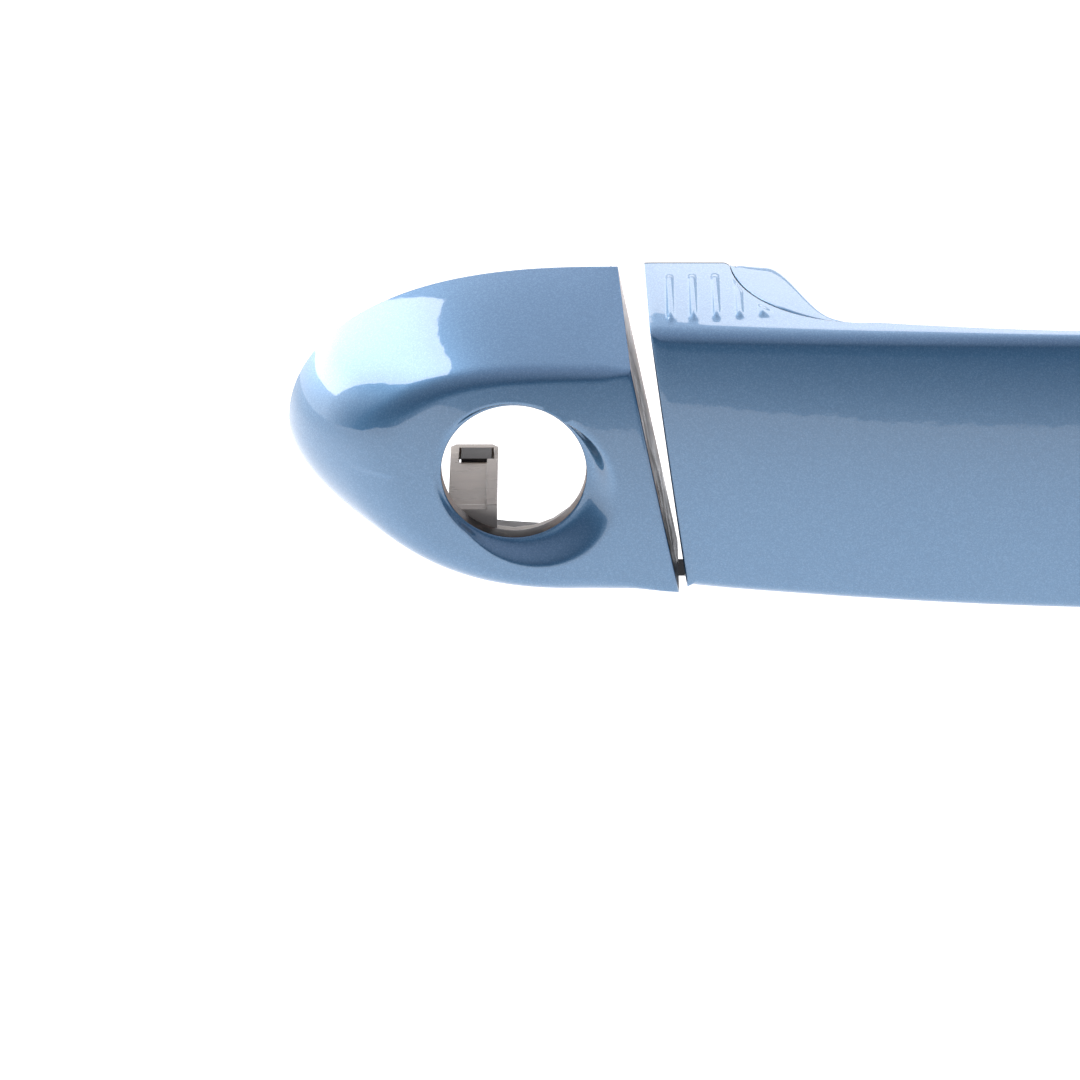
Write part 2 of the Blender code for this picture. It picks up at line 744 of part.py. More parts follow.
def make_hinge_arm():
    """Arm from the core's front end through the door skin to the pivot pin."""
    y = ARM_FOOT_Y
    outline = (
        [(63, y), (84, y), (88, -11.0), (98, -11.0), (105, -6.0), (PIVOT_X - 1.5, 1.0)]
        + arc((PIVOT_X, PIVOT_Y), 6.0, -50, 170, 12)
        + [(PIVOT_X - 7.5, 3.5), (101, -1.4), (94, -2.6), (63, -2.6)]
    )
    bore = arc((PIVOT_X, PIVOT_Y), PIVOT_PIN_R + PIN_PLAY, 0, 345, 23)
    plate("hinge_arm", [outline, bore], "XY", -9.0, 18.0, CAST)


def screw(name, head, tip, head_r, shank_r, head_height, spec=STEEL):
    """Pan-head screw with a six-sided socket, from its head's outer face to its tip."""
    head, tip = Vector(head), Vector(tip)
    way = (tip - head).normalized()
    obj = rod(name, head, head + way * head_height, head_r * 0.86, spec, 24, head_r)
    shank = rod(name + "_shank", head + way * (head_height * 0.5), tip, shank_r, sides=16)
    join(obj, shank)
    cut(obj, rod(name + "_socket", head - way, head + way * head_height * 0.6, head_r * 0.45, sides=6))
    return obj


def make_grip_screws():
    """Screws from the door side that hold arms and core together."""
    for name, x, z in (
        ("tail_screw", -63.2, 2.6),
        ("hinge_screw_rear", 68.0, 4.5),
        ("hinge_screw_front", 79.0, -4.5),
    ):
        back = ARM_FOOT_Y + 3.2
        y = back if name == "tail_screw" else -2.6
        seat = y + 2.0
        screw(name, (x, seat, z), (x, -12.0, z), 1.9, 1.25, 1.7)
        host = "tail_arm" if name == "tail_screw" else "hinge_arm"
        hole = rod(name + "_hole", (x, 10, z), (x, -30, z), 1.25 + GAP, sides=16)
        cut(bpy.data.objects[host], hole)
        bore = rod(name + "_bore", (x, 0, z), (x, -12.6, z), 1.25 + GAP, sides=16)
        cut(bpy.data.objects["grip_core"], bore)


def rim_band(loops, inset, width):
    """Flat closed band inside a shell's rim, as outer and inner outline in X and Z."""
    bands = []
    for distance in (inset, inset + width):
        points = []
        for i, (x, z) in enumerate(loops):
            before, after = loops[i - 1], loops[(i + 1) % len(loops)]
            way = Vector((after[0] - before[0], after[1] - before[1])).normalized()
            points.append((x - way.y * distance, z + way.x * distance))
        bands.append(points)
    return bands


def make_gaskets():
    """Rubber bands between the rims and the door skin."""
    turns = [math.pi * i / 32 for i in range(33)]
    turns = [t + 0.12 * math.sin(2 * t) for t in turns]
    cap = [(rim[0], rim[2]) for rim, _, _, _ in cap_loops(turns, [])]
    plate("cap_gasket", rim_band(cap, 0.9, 1.2), "XZ", RIM_Y + GAP, GASKET, RUBBER)
    top, bottom = CAP_MID_Z + GRIP_TOP - 1.0, CAP_MID_Z - GRIP_BOTTOM + 0.6
    right = FOOT_BACK_X + 3.0
    foot = [
        (grip_end(top) + 0.6, top),
        (-right, top),
        (-right, bottom),
        (grip_end(bottom) + 0.6, bottom),
    ]
    hole = [
        (foot[0][0] + 1.5, top - 1.5),
        (-right - 1.5, top - 1.5),
        (-right - 1.5, bottom + 1.5),
        (foot[3][0] + 1.5, bottom + 1.5),
    ]
    plate("rear_gasket", [foot, hole], "XZ", RIM_Y + GAP, GASKET, RUBBER)
    around = [math.pi / 2 * i / 14 for i in range(15)]
    around = [t + 0.12 * math.sin(2 * t) for t in around]
    outlines = []
    for inset in (0.6, 2.1):
        reach = GRIP_TIP_X - GRIP_RIM_X - inset
        nose, under = (
            [nose_shape(GRIP_RIM_X, reach, RIM_POWER, rise, CAP_MID_Z, t) for t in around]
            for rise in (GRIP_TOP - inset, inset - GRIP_BOTTOM)
        )
        start = FOOT_BACK_X + inset
        outlines.append([(start, nose[0][1])] + nose + under[-2::-1] + [(start, under[0][1])])
    plate("front_gasket", outlines, "XZ", RIM_Y + GAP, GASKET, RUBBER)


def rail_outline():
    fall = RAIL_FALL * (RAIL_BACK - RAIL_FRONT)
    return [
        (RAIL_FRONT, RAIL_TOP),
        (RAIL_BACK, RAIL_TOP - fall),
        (RAIL_BACK, RAIL_TOP - fall - RAIL_HEIGHT),
        (RAIL_FRONT, RAIL_TOP - RAIL_HEIGHT),
    ]


EAR = 3.0
EAR_LOW_X = -60.3
HUB_LOW_X = EAR_LOW_X + EAR + GAP
HUB_LENGTH = 17.0
EAR_HIGH_X = HUB_LOW_X + HUB_LENGTH + GAP
CRANK_EAR_R = 6.0
PIN_EAR_Z = 9.0 + GAP
PIN_EAR = 4.0


def make_carrier():
    """Frame inside the door: sloping rail, open lock seat, crank ears and pivot bracket."""
    rear = -96.0
    carrier = plate("carrier", [rail_outline()], "YZ", rear, CARRIER_END_X - 12 - rear, PLASTIC)
    lock_head = [
        (-108, -18.0),
        (HEAD_REAR_X, -10.5),
        (HEAD_REAR_X, 6),
        (-108, 13.5),
        (-98, 16.5),
        (HEAD_REAR_END_X, 17.0),
        (HEAD_REAR_END_X, RAIL_TOP - 4),
        (LOCK_X + SEAT_R, RAIL_TOP - 4),
        (LOCK_X + SEAT_R, 0),
    ]
    lock_head += arc((LOCK_X, LOCK_Z), SEAT_R, 15, 165, 10)
    lock_head += [(LOCK_X - SEAT_R, 0), (LOCK_X - SEAT_R, RAIL_TOP), (-90, RAIL_TOP)]
    lock_head += [(-90, RAIL_TOP - 3.6), (-101.5, RAIL_TOP - 2.6)]
    head = plate("lock_head", [lock_head], "XZ", 0, PAD)
    hood = arc((LOCK_X, LOCK_Z), SEAT_R + 2.4, 0, 180, 16) + arc((LOCK_X, LOCK_Z), SEAT_R + 0.3, 180, 0, 16)
    catch_low_z = LEG_Z - LEG_THICK - GAP
    catch_x = (LEG_LOW_X + 1.2 + GAP, LEG_HIGH_X - 0.6 - GAP)
    join(
        carrier,
        head,
        plate("lock_hood", [hood], "XZ", PAD - 0.5, 13.0),
        box("catch_post", (catch_x[0], 0.4, RAIL_TOP - 4), (catch_x[1], 4.6, catch_low_z)),
        box("catch", (catch_x[0], SLOT_LOW_Y + GAP, catch_low_z - 1), (catch_x[1], 3.6, LEG_Z + 0.4)),
        box("centre_pad", (-9, 0, RAIL_TOP - 4), (9, PAD, 7)),
        box("rear_pad", (-46, 0, RAIL_TOP - 4), (-34, PAD, -8)),
        box("front_pad", (84, 0, RAIL_TOP - 4), (99.5, PAD, -13.6)),
        box("rib_back", (-34, RAIL_BACK - 2, RAIL_TOP - 10), (84, RAIL_BACK + 3, RAIL_TOP - 7)),
    )
    low = RAIL_TOP - RAIL_HEIGHT + NECK
    neck = [(0, RAIL_TOP + 2), (RAIL_BACK + 1, RAIL_TOP + 2)]
    neck += [(y, low - RAIL_FALL * (y - RAIL_FRONT)) for y in (RAIL_BACK + 1, 0)]
    cut(carrier, plate("neck", [neck], "YZ", NECK_LOW_X, NECK_LENGTH))
    ear = [(RAIL_FRONT + 1, RAIL_TOP - 2), (RAIL_FRONT + 1, RAIL_TOP - RAIL_HEIGHT - 2)]
    ear += arc((CRANK_Y, CRANK_Z), CRANK_EAR_R, -100, 100, 10)
    for i, x in enumerate((EAR_LOW_X, EAR_HIGH_X)):
        join(carrier, plate(f"crank_ear_{i}", [ear], "YZ", x, EAR))
    axle = rod("axle_bore", (-70, CRANK_Y, CRANK_Z), (-30, CRANK_Y, CRANK_Z), AXLE_R + 0.05, sides=20)
    bracket = [(96, PAD), (96, 0), (108.5, 0), (108.5, 1), (PIVOT_X + 7.5, 1)]
    bracket += [(PIVOT_X + 7.5, PIVOT_Y + 3)] + arc((PIVOT_X, PIVOT_Y), 7.5, 40, 140, 8)
    bracket += [(102, RAIL_BACK), (96, RAIL_BACK)]
    for i, z in enumerate((PIN_EAR_Z, -PIN_EAR_Z - PIN_EAR)):
        join(carrier, plate(f"pivot_ear_{i}", [bracket], "XY", z, PIN_EAR))
    join(
        carrier,
        box("pivot_wall", (96, RAIL_BACK - 3, RAIL_TOP - 6), (100, RAIL_BACK, PIN_EAR_Z + 1)),
        box("pivot_post", (98, 1, RAIL_TOP - 5), (118, RAIL_BACK, -PIN_EAR_Z - 1)),
    )
    pin = rod("pin_bore", (PIVOT_X, PIVOT_Y, -30), (PIVOT_X, PIVOT_Y, 30), PIVOT_PIN_R + 0.05, sides=24)
    cut(carrier, axle, pin)
    for x, z in MOUNT_SCREWS:
        cut(carrier, rod(f"mount_bore_{x:.0f}", (x, -2, z), (x, 12, z), 2.2, sides=16))


MOUNT_SCREWS = ((-106.5, 6.0), (91.0, -17.5))


def make_carrier_screws():
    for name, (x, z) in zip(("mount_screw_rear", "mount_screw_front"), MOUNT_SCREWS):
        screw(name, (x, PAD + GAP + 2.6, z), (x, -0.6, z), 3.6, 1.9, 2.6)


def make_pins():
    rod(
        "pivot_pin",
        (PIVOT_X, PIVOT_Y, -PIN_EAR_Z - PIN_EAR - 0.8),
        (PIVOT_X, PIVOT_Y, PIN_EAR_Z + PIN_EAR + 0.8),
        PIVOT_PIN_R,
        STEEL,
        24,
    )
    rod(
        "crank_axle",
        (EAR_LOW_X - 0.8, CRANK_Y, CRANK_Z),
        (EAR_HIGH_X + EAR + 0.8, CRANK_Y, CRANK_Z),
        AXLE_R,
        STEEL,
        20,
    )


ARM_X = -52.6
ARM_THICK = 3.0


def make_crank():
    """Bell crank: hub, arm to the hook's pin, and lever that draws the latch cable."""
    tip = (CRANK_PIN_Y, CRANK_PIN_Z)
    lean = math.degrees(CRANK_LEAN)
    outline = arc(tip, 3.8, -lean, 180 - lean, 10)
    outline += arc((CRANK_Y, CRANK_Z), 6.2, 180 - lean, 360 - lean, 12)
    crank = plate("bell_crank", [outline], "YZ", ARM_X, ARM_THICK, PLASTIC_GREY)
    hub = rod("hub", (HUB_LOW_X, CRANK_Y, CRANK_Z), (HUB_LOW_X + HUB_LENGTH, CRANK_Y, CRANK_Z), HUB_R)
    lever = [(CRANK_Y - 2, CRANK_Z), (CRANK_Y + 3, CRANK_Z + 3), (CRANK_Y + 17, CRANK_Z - 3)]
    lever += [(CRANK_Y + 17, CRANK_Z - 9), (CRANK_Y + 3, CRANK_Z - 5.5)]
    join(
        crank,
        hub,
        plate("lever", [lever], "YZ", ARM_X + 0.2, ARM_THICK - 0.4),
    )
    cut(
        crank,
        rod("hub_bore", (-70, CRANK_Y, CRANK_Z), (-30, CRANK_Y, CRANK_Z), AXLE_R + PIN_PLAY, sides=20),
        rod("pin_seat", (-60, *tip), (-40, *tip), 1.6, sides=16),
        rod(
            "cable_eye",
            (-60, CRANK_Y + 14, CRANK_Z - 5.8),
            (-40, CRANK_Y + 14, CRANK_Z - 5.8),
            1.7,
            sides=16,
        ),
    )
    roller = rod("crank_roller", (-61, *tip), (ARM_X - GAP, *tip), CRANK_PIN_R, STEEL, 20)
    join(roller, rod("roller_stem", (ARM_X - 1, *tip), (ARM_X + ARM_THICK + 0.6, *tip), 1.3, sides=16))


def make_counterweight():
    """Steel block on the crank that holds the grip shut in a side impact."""
    low_x = ARM_X - 6.5
    weight = box(
        "counterweight",
        (low_x, CRANK_Y + CRANK_EAR_R + GAP, CRANK_Z - 8.5),
        (ARM_X - GAP, CRANK_Y + 16, CRANK_Z - 0.5),
        CAST,
        0.8,
    )
    centre = (CRANK_Y + 8, CRANK_Z - 3.6)
    join(weight, rod("rivet", (ARM_X - 1, *centre), (ARM_X + ARM_THICK + 0.8, *centre), 1.4, sides=12))
    cut(bpy.data.objects["bell_crank"], rod("rivet_bore", (-60, *centre), (-40, *centre), 1.7, sides=12))


SPRING_WIRE_R = 0.55
SPRING_TURNS = 5.5
SPRING_R = HUB_R + GAP + SPRING_WIRE_R + 0.2
SPRING_X = ARM_X + ARM_THICK + 1.2
SPRING_LEG = 12.0  # the leg reaches this far to rest over the rail


def make_spring():
    """Torsion spring round the hub that turns the crank back."""
    steps = int(SPRING_TURNS * 16)
    pitch = 1.35
    leg_y = CRANK_Y - SPRING_LEG
    rail_z = RAIL_TOP - RAIL_FALL * (leg_y - RAIL_FRONT)
    points = [(SPRING_X, leg_y, max(CRANK_Z + SPRING_R, rail_z + SPRING_WIRE_R + GAP))]
    for i in range(steps + 1):
        angle = math.pi / 2 - 2 * math.pi * i / 16
        y = CRANK_Y + SPRING_R * math.cos(angle)
        z = CRANK_Z + SPRING_R * math.sin(angle)
        points.append((SPRING_X + pitch * i / 16, y, z))
    x, y, z = points[-1]
    points.append((x, y + 3.0, z))
    wire = bpy.data.curves.new("return_spring", "CURVE")
    wire.dimensions = "3D"
    wire.bevel_depth = SPRING_WIRE_R * MM
    wire.bevel_resolution = 2
    wire.use_fill_caps = True
    spline = wire.splines.new("POLY")
    spline.points.add(len(points) - 1)
    for point, place in zip(spline.points, points):
        point.co = (*(c * MM for c in place), 1.0)
    wire.materials.append(material(STEEL))
    PARTS.objects.link(bpy.data.objects.new("return_spring", wire))


def make_small_parts():
    """Socket for the electronics' plug, and the buffers under the grip's feet."""
    low, high = (-44.0, PAD + GAP, -17.0), (-36.0, PAD + GAP + 8.5, -9.0)
    plug = box("connector_socket", low, high, PLASTIC, 0.4)
    cut(plug, box("socket_room", [c + 1.2 for c in low], (high[0] - 1.2, 20, high[2] - 1.2)))
    for name, x, y, z in (("rear_buffer", -63.1, -2.5, 8.6), ("front_buffer", 88.0, -2.6, 0.0)):
        rod(name, (x, y + GAP, z), (x, -SKIN, z), 1.6, RUBBER, 20)


# Pieces that swing with the grip, and those that turn with the crank
GRIP_NODES = (
    "grip_outer_shell",
    "grip_inner_shell",
    "grip_core",
    "tail_arm",
    "hinge_arm",
    "tail_screw",
    "hinge_screw_rear",
    "hinge_screw_front",
    "sensor_board",
    "antenna_core",
    "antenna_coil",
    "lock_electrode",
    "unlock_electrode",
    "rear_gasket",
    "front_gasket",
    "rear_buffer",
    "front_buffer",
)
CRANK_NODES = ("bell_crank", "crank_roller", "counterweight")


def hang_on(name, place, nodes):
    """Gives moving pieces one parent that stands on their joint's axis."""
    pivot = bpy.data.objects.new(name, None)
    pivot.location = [c * MM for c in place]
    PARTS.objects.link(pivot)
    for node in nodes:
        piece = bpy.data.objects[node]
        piece.parent = pivot
        piece.matrix_parent_inverse = Matrix.Translation(pivot.location).inverted()


def main():
    make_cap()
    make_cap_bracket()
    make_grip_outer()
    make_grip_inner()
    make_grip_core()
    make_electronics()
    make_tail_arm()
    make_hinge_arm()
    make_grip_screws()
    make_gaskets()
    make_carrier()
    make_carrier_screws()
    make_pins()
    make_crank()
    make_counterweight()
    make_spring()
    make_small_parts()
    hang_on("grip_pivot", (PIVOT_X, PIVOT_Y, 0), GRIP_NODES)
    hang_on("crank_pivot", (ARM_X, CRANK_Y, CRANK_Z), CRANK_NODES)


clear_scene()
PARTS = collection("car_door_handle")
CUTTERS = collection("cutters")
main()
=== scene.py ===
"""Visual model of the car door handle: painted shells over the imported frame, materials, light, camera."""

import json
import math

import bpy
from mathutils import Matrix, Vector


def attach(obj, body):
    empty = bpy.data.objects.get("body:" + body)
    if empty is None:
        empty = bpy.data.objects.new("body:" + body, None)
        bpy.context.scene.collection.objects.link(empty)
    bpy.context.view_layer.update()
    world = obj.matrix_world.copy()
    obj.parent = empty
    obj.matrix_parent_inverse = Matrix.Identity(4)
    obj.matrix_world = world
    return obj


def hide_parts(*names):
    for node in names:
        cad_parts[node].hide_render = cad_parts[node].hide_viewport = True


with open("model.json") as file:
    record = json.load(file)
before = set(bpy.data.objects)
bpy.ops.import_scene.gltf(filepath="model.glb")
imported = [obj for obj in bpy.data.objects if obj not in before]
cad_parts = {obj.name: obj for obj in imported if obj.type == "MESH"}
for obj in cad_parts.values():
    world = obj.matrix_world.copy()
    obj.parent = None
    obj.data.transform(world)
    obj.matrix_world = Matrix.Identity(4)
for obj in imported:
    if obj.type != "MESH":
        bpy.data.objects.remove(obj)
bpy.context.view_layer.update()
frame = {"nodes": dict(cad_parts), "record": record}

MM = 0.001

# ---------------------------------------------------------------- sizes, in millimetres

WALL, INNER_WALL, GAP = 2.4, 2.0, 0.3
RIM_Y = -1.8
CAP_TIP_X, CAP_RIM_X, CAP_MID_Z = -121.2, -76.0, -1.3
CAP_TOP, CAP_BOTTOM = 22.5, 18.6
CAP_END_X, CAP_END_SLOPE = -71.86, 0.21
FACET_X, FACET_LENGTH, FACET_Z = -80.0, 29.3, -2.5
FACET_TOP, FACET_BOTTOM = 16.6, 15.8
CAP_DEPTH, NOSE_DROP = 22.2, 5.0
RIM_POWER, FACET_POWER = 2.65, 3.25
LOCK_X, LOCK_Z, LOCK_R, LOCK_RIM_Y = -90.3, -1.0, 9.7, -19.9
DISH_TIGHT, DISH_WIDE = 0.9, 4.4
GRIP_TIP_X, GRIP_RIM_X = 121.5, 76.0
GRIP_TOP, GRIP_BOTTOM = 23.2, 18.6
GRIP_END_X, GRIP_END_SLOPE = -69.6, 0.145
GRIP_FACET_TOP, GRIP_FACET_RISE = 21.3, 2.0
GRIP_DEPTH, GRIP_BOW, BOW_SPAN, FACE_CROWN = 20.5, 6.8, 72.0, 0.0045
FOOT_X, FINGER_X, FOOT_DEPTH, MIDDLE_RISE = 61.3, 42.5, 17.6, 4.2
CORNER = 0.8  # both shells round off where the parting line meets the rim
FOOT_BACK_X, FOOT_SWEEP, INNER_DEPTH, INNER_STEP = 56.3, 8.4, 8.0, 0.7
RIBS, RIB_X, RIB_PITCH, RIB_WIDTH, RIB_HEIGHT = 5, -69.5, 3.04, 1.35, 0.3
RIB_FRONT_Y, RIB_BACK_Y = -17.2, -5.3


# ---------------------------------------------------------------- shape helpers


def mix(a, b, t):
    return tuple(p + (q - p) * t for p, q in zip(a, b))


def smooth(t):
    t = min(1.0, max(0.0, t))
    return t * t * (3 - 2 * t)


def bezier(a, b, c, t):
    return mix(mix(a, b, t), mix(b, c, t), t)


def toward(a, b, distance):
    length = (Vector(b) - Vector(a)).length
    return mix(a, b, min(0.5, distance / length)) if length > 1e-9 else a


def flank(rim, edge, bulge, t):
    """Side of a shell from its rear rim (t = 0) to the front facet's edge (t = 1)."""
    across = Vector((rim[0] - edge[0], 0, rim[2] - edge[2]))
    out = across.normalized() * 0.7 * bulge if across.length > 1e-6 else Vector()
    middle = mix(rim, edge, 0.42)
    return bezier(rim, (middle[0] + out.x, middle[1] - 0.35 * bulge, middle[2] + out.z), edge, t)


def nose_shape(start, reach, power, half_height, mid_z, turn):
    return start + reach * abs(math.sin(turn)) ** (2 / power), mid_z + half_height * math.cos(turn)


def skin(name, rings, body, node, kinds, wrap=False, sharp=32):
    """Closed rings of equal length skinned into one mesh; kinds gives each ring gap's material index."""
    verts = [[c * MM for c in point] for ring in rings for point in ring]
    count = len(rings[0])
    faces, material_index = [], []
    last = len(rings) if wrap else len(rings) - 1
    for r in range(last):
        a, b = r * count, ((r + 1) % len(rings)) * count
        for i in range(count):
            j = (i + 1) % count
            faces.append((a + i, a + j, b + j, b + i))
            material_index.append(kinds(r, i))
    if not wrap:
        faces.append(tuple(range(count)))
        faces.append(tuple(range((len(rings) - 1) * count, len(rings) * count)))
        material_index += [0, 0]
    mesh = bpy.data.meshes.new(name)
    mesh.from_pydata(verts, [], faces)
    obj = bpy.data.objects.new(name, mesh)
    bpy.context.scene.collection.objects.link(obj)
    for polygon, index in zip(mesh.polygons, material_index):
        polygon.material_index = index
    tidy(mesh)
    mesh.shade_smooth()
    mesh.set_sharp_from_angle(angle=math.radians(sharp))
    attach(obj, body)
    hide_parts(node)
    return obj


def tidy(mesh):
    import bmesh

    bm = bmesh.new()
    bm.from_mesh(mesh)
    bmesh.ops.remove_doubles(bm, verts=bm.verts, dist=3e-6)
    bmesh.ops.dissolve_degenerate(bm, edges=bm.edges, dist=1e-6)
    bmesh.ops.recalc_face_normals(bm, faces=bm.faces)
    bm.to_mesh(mesh)
    bm.free()


# ---------------------------------------------------------------- lock cover cap


def cap_end(z):
    return CAP_END_X - CAP_END_SLOPE * z


def cap_face_y(x, z):
    back = NOSE_DROP * (max(0.0, FACET_X - x) / FACET_LENGTH) ** 2.3
    return -(CAP_DEPTH - back - 0.0035 * (z + 4) ** 2)


def cap_loops(turns, straight, ends, inset=0.0):
    rows = []
    for turn in turns:
        top = math.cos(turn) >= 0
        height, facet = (CAP_TOP, FACET_TOP) if top else (CAP_BOTTOM, FACET_BOTTOM)
        reach = CAP_TIP_X - CAP_RIM_X + inset
        rim = nose_shape(CAP_RIM_X, reach, RIM_POWER, height - inset, CAP_MID_Z, turn)
        face = nose_shape(FACET_X, -FACET_LENGTH + inset, FACET_POWER, facet - 0.8 * inset, FACET_Z, turn)
        nose = abs(math.sin(turn))
        rows.append([rim, face, 0.6 + 3.6 * nose**2, 1.5 + 1.0 * nose + (0 if top else 1.2)])
    corners = rows.pop(0), rows.pop()
    for corner, before in zip(corners, (rows[0], rows[-1])):
        for i in range(1, straight + 1):
            share = i / straight
            points = []
            for (x, z), (_, end_z) in zip(before[:2], corner[:2]):
                end_x = cap_end(end_z) - inset
                points.append((x + (end_x - x) * share, z + (end_z - z) * share))
            radius = corner[3] + (0.8 - corner[3]) * smooth((share - 0.6) / 0.4)
            place = 0 if corner is corners[0] else len(rows)
            rows.insert(place, [*points, corner[2] * (1 - share), radius])
    first, last = rows[0], rows[-1]
    for t in ends:
        rim_z = last[0][1] + (first[0][1] - last[0][1]) * t
        face_z = last[1][1] + (first[1][1] - last[1][1]) * t
        rim, face = (cap_end(rim_z) - inset, rim_z), (cap_end(face_z) - inset, face_z)
        rows.append([rim, face, 0.0, 0.5])
    return [
        ((rim[0], RIM_Y, rim[1]), (face[0], cap_face_y(*face) + inset, face[1]), bulge, radius)
        for rim, face, bulge, radius in rows
    ]


def dish_radius(angle):
    return LOCK_R + DISH_TIGHT + DISH_WIDE * max(0.0, math.cos(angle + math.radians(38))) ** 1.3


def make_cap():
    """Rings: outer flank, crease, facet, dish, lip, hole wall, back of the facet and of the flank."""
    turns = [math.pi * i / 96 for i in range(97)]
    turns = [t + 0.12 * math.sin(2 * t) for t in turns]
    ends = [i / 40 for i in range(1, 40)]
    outer = cap_loops(turns, 10, ends)
    inner = cap_loops(turns, 10, ends, WALL)
    columns = []
    for (rim, edge, bulge, radius), (rim_in, edge_in, _, _) in zip(outer, inner):
        angle = math.atan2(edge[2] - LOCK_Z, edge[0] - LOCK_X)
        beam = (math.cos(angle), math.sin(angle))
        dish = dish_radius(angle)
        lip = (LOCK_X + dish * beam[0], 0.0, LOCK_Z + dish * beam[1])
        lip = (lip[0], cap_face_y(lip[0], lip[2]), lip[2])
        stop = 1 - radius / (Vector(edge) - Vector(rim)).length
        column = [flank(rim, edge, bulge, stop * k / 14) for k in range(15)]
        after = toward(edge, lip, radius)
        after = (after[0], cap_face_y(after[0], after[2]), after[2])
        column += [bezier(column[-1], edge, after, k / 8) for k in range(1, 8)]
        for k in range(11):
            x, _, z = mix(after, lip, k / 10)
            column.append((x, cap_face_y(x, z), z))
        for k in range(1, 13):
            t = k / 12
            r = dish + (LOCK_R + 0.25 - dish) * t
            y = lip[1] + (LOCK_RIM_Y - lip[1]) * smooth(t)
            column.append((LOCK_X + r * beam[0], y, LOCK_Z + r * beam[1]))
        for k in range(1, 5):
            turn = math.pi / 2 * k / 4
            r = LOCK_R + 0.25 * (1 - math.sin(turn))
            column.append(
                (LOCK_X + r * beam[0], LOCK_RIM_Y + 0.25 * (1 - math.cos(turn)), LOCK_Z + r * beam[1])
            )
        column.append((column[-1][0], LOCK_RIM_Y + WALL, column[-1][2]))
        column.append(edge_in)
        column += [flank(rim_in, edge_in, 0.6 * bulge, t) for t in (0.5, 0.0)]
        columns.append(column)
    rings = [list(ring) for ring in zip(*columns)]
    painted = 15 + 7 + 11 + 12 + 4 - 2
    ends_from = len(columns) - len(ends) - 1

    def kinds(r, i):
        if r >= painted:
            return 1
        return 1 if r < 15 and i >= ends_from else 0

    return skin("cap_skin", rings, "door_carrier", "cap_shell", wrap=True, kinds=kinds)


# ---------------------------------------------------------------- grip


def grip_end(z):
    return GRIP_END_X - GRIP_END_SLOPE * z


def grip_bow(x):
    if x < 0:
        return GRIP_BOW * (1 - (x / BOW_SPAN) ** 2)
    return GRIP_BOW * math.cos(min(1.0, x / 105.0) * math.pi / 2) ** 2


def grip_face_y(x, z):
    back = 3.5 * (max(0.0, x + FACET_X) / FACET_LENGTH) ** 2.3
    return -(GRIP_DEPTH + grip_bow(x) - back - FACE_CROWN * (z - 1) ** 2)


def parting_y(x):
    x = abs(x)
    if x >= FOOT_X:
        return RIM_Y - CORNER * (1 - min(1.0, (x - FOOT_X) / CORNER)) ** 2
    if x >= FINGER_X:
        return RIM_Y - FOOT_DEPTH * math.sqrt(1 - ((x - FINGER_X) / (FOOT_X - FINGER_X)) ** 2)
    return RIM_Y - FOOT_DEPTH - MIDDLE_RISE * (1 - (x / FINGER_X) ** 2)


def short_of_end(x, z, inset):
    end = grip_end(z) + inset
    full = grip_end(CAP_MID_Z + GRIP_TOP)
    return -FOOT_X + (x + FOOT_X) * (end + FOOT_X) / (full + FOOT_X)


def grip_loops(along, around, ends, inset=0.0):
    rows = []
    for side, height, facet in ((1, GRIP_TOP, GRIP_FACET_TOP), (-1, GRIP_BOTTOM, FACET_BOTTOM)):
        half = []
        for x in along:
            rise = (GRIP_FACET_RISE if side > 0 else 0.6) * max(0.0, 1 - (x / BOW_SPAN) ** 2)
            z = CAP_MID_Z + side * (height - inset)
            fz = FACET_Z + side * (facet + rise - 0.8 * inset)
            rim, face = (x, z), (x, fz)
            if x < -FOOT_X and (side < 0 or inset > 0):
                rim, face = [(short_of_end(x, pz, inset), pz) for pz in (z, fz)]
            half.append([rim, face, 0.6 if side > 0 else 1.2, 2.0 if side > 0 else 2.6])
        for turn in around:
            nose = abs(math.sin(turn))
            reach = GRIP_TIP_X - GRIP_RIM_X - inset
            rim = nose_shape(GRIP_RIM_X, reach, RIM_POWER, side * (height - inset), CAP_MID_Z, turn)
            rise = side * (facet - 0.8 * inset)
            face = nose_shape(-FACET_X, FACET_LENGTH - inset, FACET_POWER, rise, FACET_Z, turn)
            half.append([rim, face, 0.6 + 3.6 * nose**2, 2.8 + 1.6 * nose])
        rows += half if side > 0 else half[-2::-1]
    for i in (0, -1):
        for j in (0, 1):
            z = rows[i][j][1]
            rows[i][j] = (grip_end(z) + inset, z)
        rows[i][2:] = [0.0, 0.8]
    first, last = rows[0], rows[-1]
    for t in ends:
        rim_z = last[0][1] + (first[0][1] - last[0][1]) * t
        face_z = last[1][1] + (first[1][1] - last[1][1]) * t
        rim, face = (grip_end(rim_z) + inset, rim_z), (grip_end(face_z) + inset, face_z)
        rows.append([rim, face, 0.0, 0.6])
    loops = []
    for rim, face, bulge, radius in rows:
        y = grip_face_y(*face) + inset
        if inset > 0:
            y = min(y, parting_y(face[0]) - GAP)
        loops.append(((rim[0], RIM_Y, rim[1]), (face[0], y, face[1]), bulge, radius))
    return loops


def flank_start(rim, edge, bulge):
    goal = parting_y(rim[0])
    low, high = 0.0, 0.98
    for _ in range(30):
        middle = (low + high) / 2
        if flank(rim, edge, bulge, middle)[1] > goal + 1e-6:
            low = middle
        else:
            high = middle
    return low


